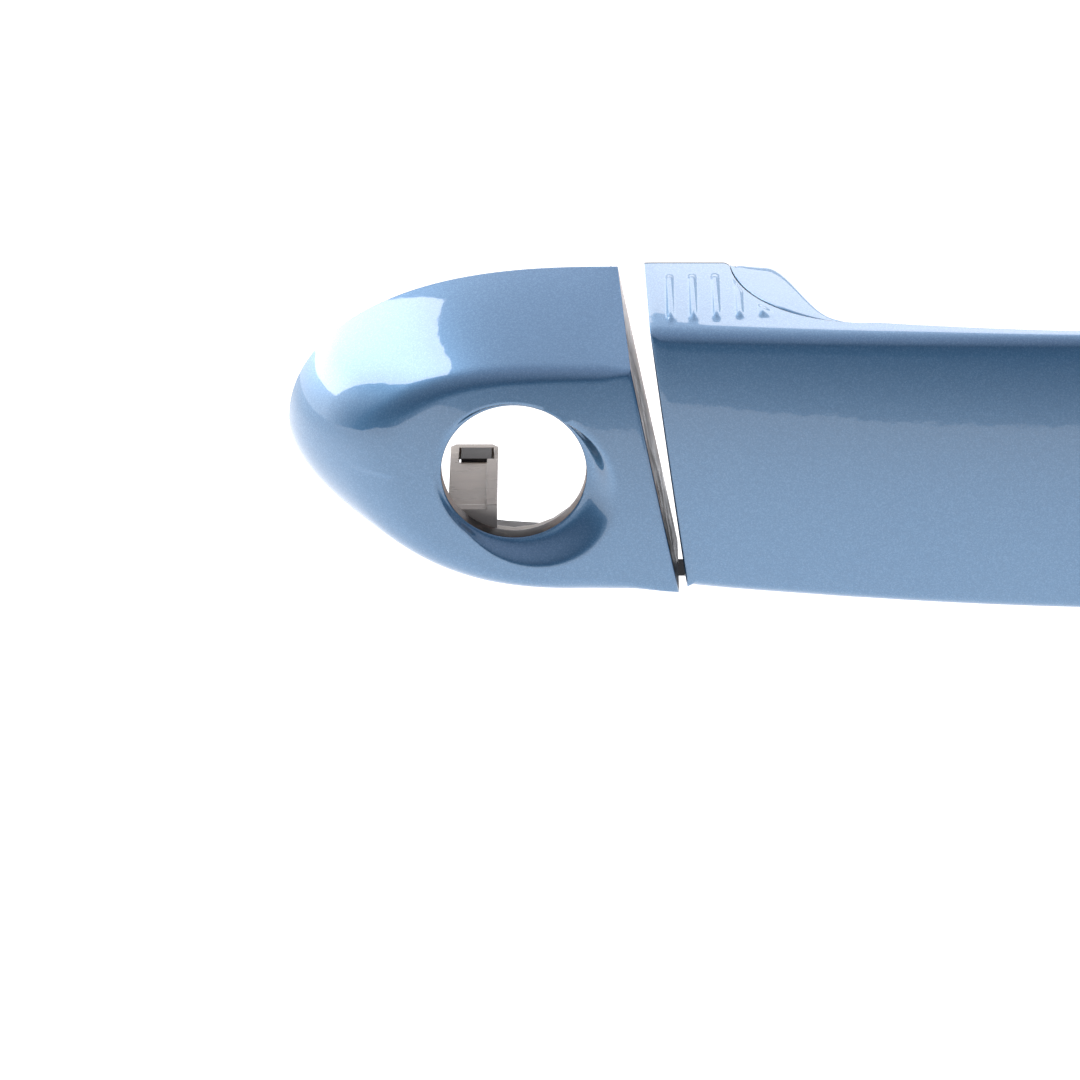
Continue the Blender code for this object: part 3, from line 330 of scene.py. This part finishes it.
def ribbed(point):
    """The top's grip ribs: low rounded ridges with a blunt front end."""
    x, y, z = point
    if z < 0 or x > RIB_X + RIB_PITCH * RIBS:
        return point
    off = min(abs(x - RIB_X - RIB_PITCH * i) for i in range(RIBS)) / (RIB_WIDTH / 2)
    back = min(RIB_BACK_Y, parting_y(x) - 1.2)
    if off > 1:
        return point
    body = math.cos(off * math.pi / 2) ** 1.3
    ends = smooth((y - RIB_FRONT_Y) / 1.6) * smooth((back - y) / 1.2)
    return (x, y, z + RIB_HEIGHT * body * ends)


def make_grip_outer():
    feet = [FINGER_X + (FOOT_X - FINGER_X) * math.sin(math.pi / 2 * i / 28) for i in range(29)]
    middle = [-FINGER_X + 2 * FINGER_X * i / 34 for i in range(1, 34)]
    ribs = [RIB_X - 1.5 + 0.19 * i for i in range(73)]
    left = [-x for x in feet if -x > ribs[-1] + 0.05]
    right = [FOOT_X + 14.0 * i / 10 for i in range(1, 11)]
    along = sorted([-72.3, -71.6, *ribs, *left]) + middle + feet + right
    around = [math.pi / 2 * i / 44 for i in range(45)]
    around = [t + 0.12 * math.sin(2 * t) for t in around]
    ends = [i / 40 for i in range(1, 40)]
    outer = grip_loops(along, around, ends)
    inner = grip_loops(along, around, ends, WALL)
    columns = []
    for (rim, edge, bulge, radius), (rim_in, edge_in, _, _) in zip(outer, inner):
        x = min(88.0, max(-56.0, edge[0]))
        spine = (x, 0.0, FACET_Z + 2)
        start = flank_start(rim, edge, bulge)
        stop = max(1 - radius / (Vector(edge) - Vector(rim)).length, start + 0.3 * (1 - start))
        after = toward(edge, spine, radius)
        after = (after[0], grip_face_y(after[0], after[2]), after[2])
        column = []
        for k in range(15):
            px, _, pz = mix(spine, after, k / 14)
            column.append((px, grip_face_y(px, pz), pz))
        before = flank(rim, edge, bulge, stop)
        column += [bezier(after, edge, before, k / 10) for k in range(1, 10)]
        steps = [k / 30 for k in range(30)] + [0.985, 1.0]
        flank_points = [ribbed(flank(rim, edge, bulge, stop + (start - stop) * t)) for t in steps]
        last = flank_points[-1]
        out = Vector((rim[0] - edge[0], 0, rim[2] - edge[2]))
        out = Vector((0, 0, 1 if rim[2] > 0 else -1)) if out.length < 1e-6 else out.normalized()
        flank_points[-1] = (last[0] - 0.12 * out.x, last[1], last[2] - 0.12 * math.copysign(1, last[2]))
        column += flank_points
        start = flank_start(rim_in, edge_in, 0.6 * bulge)
        column += [flank(rim_in, edge_in, 0.6 * bulge, t) for t in (start, (start + 1) / 2)]
        column.append(edge_in)
        column.append((x, grip_face_y(x, spine[2]) + WALL, spine[2]))
        columns.append(column)
    rings = [list(ring) for ring in zip(*columns)]
    # painted shade: the last two strips of the flank at the parting line take the black plastic slot to
    # darken the groove
    painted = len(rings) - 5 - 2
    return skin(
        "grip_skin",
        rings,
        "grip",
        "grip_outer_shell",
        kinds=lambda r, i: 0 if r < painted else (2 if r <= painted + 1 else 1),
    )


def grip_top_z(x, y):
    face_z = FACET_Z + GRIP_FACET_TOP + GRIP_FACET_RISE * max(0.0, 1 - (x / BOW_SPAN) ** 2)
    rim_z = CAP_MID_Z + GRIP_TOP
    share = (y - RIM_Y) / (grip_face_y(x, face_z) - RIM_Y)
    return rim_z + (face_z - rim_z) * share + 0.8 * share * (1 - share)


def inner_back_y(x):
    middle = parting_y(0) + INNER_DEPTH
    corner = CORNER * min(1.0, max(0.0, (abs(x) - FOOT_X + 2 * CORNER) / CORNER)) ** 2
    return RIM_Y + (middle - RIM_Y) * smooth((FOOT_BACK_X - abs(x)) / FOOT_SWEEP) - corner


def inner_section(x, inset, steps):
    """Section behind the parting line; the outer one starts on a small rounded front edge."""
    front = parting_y(x) + GAP
    foot = smooth((abs(x) - FINGER_X) / (FOOT_BACK_X - FINGER_X))
    power = 2.0 + 14.0 * foot**2
    step = INNER_STEP * (1 - foot)
    bottom = CAP_MID_Z - GRIP_BOTTOM + step + inset
    depth = max(0.4, inner_back_y(x) - front - inset)
    radius = 0.0 if inset > 0 else min(0.45, 0.4 * depth)
    points = []
    for i in range(steps + 1):
        angle = math.pi / 2 - math.pi * i / steps
        across = abs(math.cos(angle)) ** (2 / power)
        high = math.copysign(abs(math.sin(angle)) ** (2 / power), math.sin(angle))
        y = front + radius + (depth - radius) * across
        top = grip_top_z(x, y) - step - inset
        middle, half = (top + bottom) / 2, (top - bottom) / 2
        points.append((x, y, middle + half * high))
    if radius:
        turns = [math.pi / 2 * k / 4 for k in range(4)]
        rounding = [(front + radius * (1 - math.sin(t)), radius * (1 - math.cos(t))) for t in turns]
        above = [(x, y, points[0][2] - drop) for y, drop in rounding]
        below = [(x, y, points[-1][2] + drop) for y, drop in rounding]
        points = [(x, front, points[0][2] - radius)] + above[:0:-1] + points + below[1:] + [
            (x, front, points[-1][2] + radius)
        ]
    return points


def make_grip_inner():
    feet = [FINGER_X + (FOOT_X - FINGER_X) * math.sin(math.pi / 2 * i / 36) for i in range(35)]
    middle = [-FINGER_X + 2 * FINGER_X * i / 34 for i in range(1, 34)]
    stations = [-x for x in reversed(feet)] + middle + feet
    rings = [inner_section(x, 0.0, 72) + inner_section(x, INNER_WALL, 30)[::-1] for x in stations]
    outside = len(inner_section(0.0, 0.0, 72)) - 1
    # painted shade: the front edge faces at the parting gap take the black plastic slot to darken the
    # groove
    return skin(
        "grip_inner_skin",
        rings,
        "grip",
        "grip_inner_shell",
        kinds=lambda r, i: 0 if i < outside else 2 if i in (outside, len(rings[0]) - 1) else 1,
    )


# ---------------------------------------------------------------- materials


class Nodes:
    """Short calls for a material's node tree."""

    def __init__(self, name):
        self.material = bpy.data.materials.new(name)
        self.material.use_nodes = True
        self.tree = self.material.node_tree
        self.shader = self.tree.nodes["Principled BSDF"]
        self.place = self.add("ShaderNodeTexCoord").outputs["Object"]

    def add(self, kind, **values):
        node = self.tree.nodes.new(kind)
        for key, value in values.items():
            setattr(node, key, value)
        return node

    def link(self, source, target):
        self.tree.links.new(source, target)

    def set(self, **values):
        for key, value in values.items():
            self.shader.inputs[key.replace("_", " ")].default_value = value

    def noise(self, scale, detail=2.0, roughness=0.5, stretch=None):
        node = self.add("ShaderNodeTexNoise")
        node.inputs["Scale"].default_value = scale
        node.inputs["Detail"].default_value = detail
        node.inputs["Roughness"].default_value = roughness
        if stretch:
            mapping = self.add("ShaderNodeMapping")
            mapping.inputs["Scale"].default_value = stretch
            self.link(self.place, mapping.inputs["Vector"])
            self.link(mapping.outputs[0], node.inputs["Vector"])
        else:
            self.link(self.place, node.inputs["Vector"])
        return node.outputs["Fac"]

    def ramp(self, source, low, high, start=0.35, end=0.65):
        node = self.add("ShaderNodeMapRange")
        node.inputs["From Min"].default_value = start
        node.inputs["From Max"].default_value = end
        node.inputs["To Min"].default_value = low
        node.inputs["To Max"].default_value = high
        self.link(source, node.inputs["Value"])
        return node.outputs["Result"]

    def colour(self, source, *stops):
        node = self.add("ShaderNodeValToRGB")
        ramp = node.color_ramp
        while len(ramp.elements) < len(stops):
            ramp.elements.new(0.5)
        for element, (position, value) in zip(ramp.elements, stops):
            element.position = position
            element.color = (*value, 1.0)
        self.link(source, node.inputs["Fac"])
        return node.outputs["Color"]

    def bump(self, source, strength, distance, edge=0.00025):
        node = self.add("ShaderNodeBump")
        node.inputs["Strength"].default_value = strength
        node.inputs["Distance"].default_value = distance
        self.link(source, node.inputs["Height"])
        if edge:
            bevel = self.add("ShaderNodeBevel", samples=6)
            bevel.inputs["Radius"].default_value = edge
            self.link(bevel.outputs[0], node.inputs["Normal"])
        self.link(node.outputs["Normal"], self.shader.inputs["Normal"])


def paint():
    """Metallic base coat with fine flake sparkle, slight orange peel and a hard clear coat."""
    n = Nodes("paint_blue_metallic")
    n.set(Metallic=0.80, Roughness=0.38, Coat_Weight=1.0, Coat_Roughness=0.04, Coat_IOR=1.85)
    flakes = n.add("ShaderNodeTexVoronoi")
    flakes.inputs["Scale"].default_value = 7500.0
    n.link(n.place, flakes.inputs["Vector"])
    cell = n.add("ShaderNodeSeparateColor")
    n.link(flakes.outputs["Color"], cell.inputs[0])
    base = n.colour(
        cell.outputs[0],
        (0.0, (0.066, 0.172, 0.310)),
        (0.6, (0.078, 0.195, 0.340)),
        (1.0, (0.11, 0.24, 0.40)),
    )
    cloud = n.noise(70.0, 3.0)
    tint = n.add("ShaderNodeMix", data_type="RGBA", blend_type="MULTIPLY")
    n.link(n.ramp(cloud, 0.0, 0.18), tint.inputs["Factor"])
    n.link(base, tint.inputs["A"])
    tint.inputs["B"].default_value = (0.86, 0.90, 0.95, 1.0)
    n.link(tint.outputs["Result"], n.shader.inputs["Base Color"])
    n.link(n.ramp(cell.outputs[1], 0.35, 0.42, 0.0, 1.0), n.shader.inputs["Roughness"])
    n.bump(cell.outputs[2], 0.06, 0.00002, edge=0.0003)
    peel = n.add("ShaderNodeBump")
    peel.inputs["Strength"].default_value = 0.06
    peel.inputs["Distance"].default_value = 0.0002
    n.link(n.noise(420.0, 2.0), peel.inputs["Height"])
    n.link(peel.outputs["Normal"], n.shader.inputs["Coat Normal"])
    return n.material


def moulded(name, dark, light, roughness, grain, strength, wear=None, specular=0.5):
    """Injection-moulded plastic: fine spark-eroded grain, faint flow marks, rubbed edges."""
    n = Nodes(name)
    n.set(Specular_IOR_Level=specular)
    flow = n.noise(55.0, 4.0, 0.6, (1.0, 2.5, 2.5))
    colour = n.colour(flow, (0.30, dark), (0.70, light))
    if wear:
        geometry = n.add("ShaderNodeNewGeometry")
        edge = n.ramp(geometry.outputs["Pointiness"], 0.0, 0.55, 0.52, 0.62)
        blend = n.add("ShaderNodeMix", data_type="RGBA")
        n.link(edge, blend.inputs["Factor"])
        n.link(colour, blend.inputs["A"])
        blend.inputs["B"].default_value = (*wear, 1.0)
        colour = blend.outputs["Result"]
    n.link(colour, n.shader.inputs["Base Color"])
    n.link(n.ramp(flow, roughness - 0.06, roughness + 0.08), n.shader.inputs["Roughness"])
    n.bump(n.noise(grain, 3.0, 0.65), strength, 0.00006)
    return n.material


def unpainted():
    """Bare grey-brown moulding behind the paint, with blue overspray and painted shade: near black towards
    its lower end.
    """
    n = Nodes("bare_moulding_painted_shade")
    n.set(Specular_IOR_Level=0.4)
    split = n.add("ShaderNodeSeparateXYZ")
    n.link(n.place, split.inputs[0])
    wave = n.noise(260.0, 4.0, 0.6)
    height = n.add("ShaderNodeMath", operation="ADD")
    n.link(split.outputs["Z"], height.inputs[0])
    n.link(n.ramp(wave, -0.002, 0.002), height.inputs[1])
    # painted shade: the colour ramp by height turns the moulding near black towards its lower end
    painted_shade_level = n.ramp(height.outputs[0], 0.0, 1.0, -0.020, 0.014)
    colour = n.colour(
        painted_shade_level,
        (0.0, (0.012, 0.011, 0.011)),
        (0.30, (0.03, 0.027, 0.025)),
        (0.42, (0.34, 0.25, 0.20)),
        (1.0, (0.66, 0.53, 0.45)),
    )
    n.link(colour, n.shader.inputs["Base Color"])
    n.link(n.ramp(wave, 0.26, 0.46), n.shader.inputs["Roughness"])
    n.bump(wave, 0.25, 0.0002)
    return n.material


def metal(name, dark, light, roughness, stretch, strength, metallic=1.0, scale=300.0):
    """Bare or plated metal with directional marks and uneven tarnish."""
    n = Nodes(name)
    n.set(Metallic=metallic)
    stain = n.noise(60.0, 4.0, 0.6)
    n.link(n.colour(stain, (0.30, dark), (0.70, light)), n.shader.inputs["Base Color"])
    marks = n.noise(scale, 3.0, 0.6, stretch)
    n.link(n.ramp(marks, roughness - 0.08, roughness + 0.10), n.shader.inputs["Roughness"])
    n.bump(marks, strength, 0.00005)
    return n.material


def winding():
    """Enamelled copper wire laid turn by turn around the antenna core."""
    n = Nodes("copper_winding")
    n.set(Metallic=1.0, Roughness=0.28, Coat_Weight=0.5, Coat_Roughness=0.1)
    wave = n.add("ShaderNodeTexWave", wave_type="BANDS", bands_direction="X")
    wave.inputs["Scale"].default_value = 620.0
    wave.inputs["Distortion"].default_value = 0.4
    n.link(n.place, wave.inputs["Vector"])
    colour = n.colour(wave.outputs["Fac"], (0.0, (0.20, 0.07, 0.03)), (0.6, (0.72, 0.34, 0.16)))
    n.link(colour, n.shader.inputs["Base Color"])
    n.bump(wave.outputs["Fac"], 0.7, 0.0002, edge=0)
    return n.material


def board():
    """Lacquered circuit board with tracks under the solder mask."""
    n = Nodes("circuit_board")
    n.set(Roughness=0.3, Coat_Weight=0.6, Coat_Roughness=0.15)
    tracks = n.add("ShaderNodeTexBrick")
    tracks.inputs["Scale"].default_value = 260.0
    tracks.inputs["Mortar Size"].default_value = 0.018
    tracks.inputs["Color1"].default_value = (0.02, 0.12, 0.05, 1)
    tracks.inputs["Color2"].default_value = (0.025, 0.14, 0.06, 1)
    tracks.inputs["Mortar"].default_value = (0.08, 0.30, 0.12, 1)
    swap = n.add("ShaderNodeMapping")
    swap.inputs["Rotation"].default_value = (math.pi / 2, 0, 0)
    n.link(n.place, swap.inputs["Vector"])
    n.link(swap.outputs[0], tracks.inputs["Vector"])
    n.link(tracks.outputs["Color"], n.shader.inputs["Base Color"])
    n.bump(tracks.outputs["Fac"], 0.3, 0.00005, edge=0)
    return n.material


PAINT = paint()
BARE = unpainted()
FINISH = {
    "paint_blue": PAINT,
    "plastic_black": moulded(
        "plastic_black_grained", (0.012, 0.012, 0.013), (0.024, 0.024, 0.026),
        0.50, 900.0, 0.5, (0.07, 0.07, 0.07), 0.3,
    ),
    "plastic_grey": moulded(
        "plastic_grey_brown", (0.30, 0.26, 0.22), (0.54, 0.48, 0.41),
        0.26, 300.0, 0.9, (0.58, 0.53, 0.47), 0.8,
    ),
    "rubber_black": moulded(
        "rubber_matt", (0.012, 0.012, 0.012), (0.024, 0.024, 0.024),
        0.82, 1400.0, 0.6,
    ),
    "steel_zinc": metal(
        "steel_zinc_plated", (0.50, 0.50, 0.47), (0.72, 0.72, 0.70),
        0.30, (1.0, 1.0, 6.0), 0.25,
    ),
    "zinc_cast": metal(
        "zinc_die_cast", (0.34, 0.34, 0.335), (0.50, 0.50, 0.49),
        0.48, (1.0, 1.0, 1.0), 0.45, 0.9, 700.0,
    ),
    "copper_wire": winding(),
    "ferrite": moulded("ferrite_sintered", (0.05, 0.05, 0.055), (0.085, 0.085, 0.09), 0.6, 1600.0, 0.5),
    "board_green": board(),
}

for part in frame["record"]["subparts"]:
    node = frame["nodes"][part["node"]]
    node.data.materials.clear()
    node.data.materials.append(FINISH[part["material_slot"]])

# slots: paint, bare moulding, and black plastic that paints shade into the parting-line groove
for piece in (make_cap(), make_grip_outer(), make_grip_inner()):
    piece.data.materials.append(PAINT)
    piece.data.materials.append(BARE)
    piece.data.materials.append(FINISH["plastic_black"])


# ---------------------------------------------------------------- stage, light and camera


def stage():
    """Pale floor, well below the handle, which is held in the air as on a door."""
    bpy.ops.mesh.primitive_plane_add(size=1.0, location=(-0.05, 0.9, -0.34))
    floor = bpy.context.object
    floor.name = "floor"
    floor.scale = (6.0, 4.2, 1.0)
    n = Nodes("floor_white")
    n.set(Roughness=0.9)
    n.shader.inputs["Base Color"].default_value = (0.50, 0.50, 0.51, 1.0)
    n.shader.inputs["Emission Color"].default_value = (1.0, 1.0, 1.0, 1.0)
    n.shader.inputs["Emission Strength"].default_value = 0.88
    n.link(n.ramp(n.noise(3.0), 0.85, 0.95), n.shader.inputs["Roughness"])
    floor.data.materials.append(n.material)


def softbox(name, place, target, size, power, colour=(1.0, 1.0, 1.0)):
    light = bpy.data.lights.new(name, "AREA")
    light.shape = "RECTANGLE"
    light.size, light.size_y = size
    light.energy = power
    light.color = colour
    obj = bpy.data.objects.new(name, light)
    bpy.context.scene.collection.objects.link(obj)
    obj.location = place
    obj.rotation_euler = (Vector(target) - Vector(place)).to_track_quat("-Z", "Y").to_euler()
    return obj


def surroundings():
    """Soft studio surroundings: bright above and behind, dim near the horizon in front."""
    world = bpy.data.worlds.new("studio")
    bpy.context.scene.world = world
    world.use_nodes = True
    tree = world.node_tree
    back = tree.nodes["Background"]
    place = tree.nodes.new("ShaderNodeTexCoord")
    split = tree.nodes.new("ShaderNodeSeparateXYZ")
    tree.links.new(place.outputs["Generated"], split.inputs[0])
    ramps = []
    for stops in (
        (
            (0.0, (0.30, 0.30, 0.30)),
            (0.35, (0.85, 0.85, 0.88)),
            (0.455, (0.05, 0.06, 0.09)),
            (0.53, (0.07, 0.09, 0.14)),
            (0.72, (0.36, 0.40, 0.48)),
            (1.0, (0.70, 0.70, 0.80)),
        ),
        (
            (0.0, (0.80, 0.80, 0.82)),
            (0.42, (2.1, 2.1, 2.2)),
            (0.60, (2.4, 2.4, 2.5)),
            (0.70, (0.90, 0.90, 0.94)),
            (0.90, (1.15, 1.15, 1.25)),
            (1.0, (0.80, 0.80, 0.88)),
        ),
    ):
        half = tree.nodes.new("ShaderNodeMapRange")
        half.inputs["From Min"].default_value = -1.0
        tree.links.new(split.outputs["Z"], half.inputs["Value"])
        node = tree.nodes.new("ShaderNodeValToRGB")
        while len(node.color_ramp.elements) < len(stops):
            node.color_ramp.elements.new(0.5)
        for element, (position, value) in zip(node.color_ramp.elements, stops):
            element.position = position
            element.color = (*value, 1.0)
        tree.links.new(half.outputs[0], node.inputs["Fac"])
        ramps.append(node.outputs["Color"])
    side = tree.nodes.new("ShaderNodeMapRange")
    side.inputs["From Min"].default_value = -0.15
    side.inputs["From Max"].default_value = 0.15
    tree.links.new(split.outputs["Y"], side.inputs["Value"])
    blend = tree.nodes.new("ShaderNodeMix")
    blend.data_type = "RGBA"
    tree.links.new(side.outputs[0], blend.inputs["Factor"])
    tree.links.new(ramps[0], blend.inputs["A"])
    tree.links.new(ramps[1], blend.inputs["B"])
    tree.links.new(blend.outputs["Result"], back.inputs["Color"])
    back.inputs["Strength"].default_value = 1.0


def camera():
    """Slightly above and in front of the lock end, level with the door."""
    elevation, distance = math.radians(26.0), 0.600
    target = Vector((-0.0868, -0.022, -0.010))
    data = bpy.data.cameras.new("camera")
    data.lens = 149.4
    data.sensor_width = 36.0
    data.clip_start = 0.01
    obj = bpy.data.objects.new("camera", data)
    bpy.context.scene.collection.objects.link(obj)
    obj.location = target + Vector((0, -math.cos(elevation), math.sin(elevation))) * distance
    obj.rotation_euler = (math.pi / 2 - elevation, 0, 0)
    bpy.context.scene.camera = obj


stage()
surroundings()
softbox("left_box", (-0.98, 0.42, 0.64), (-0.09, -0.01, 0), (0.92, 1.05), 11.0, (1.0, 0.97, 0.96))
softbox("back_strip", (0.25, 1.0, 0.86), (-0.02, 0, 0.01), (2.2, 0.42), 6.5, (1.0, 0.93, 0.90))
camera()
bpy.context.scene.view_settings.view_transform = "Standard"
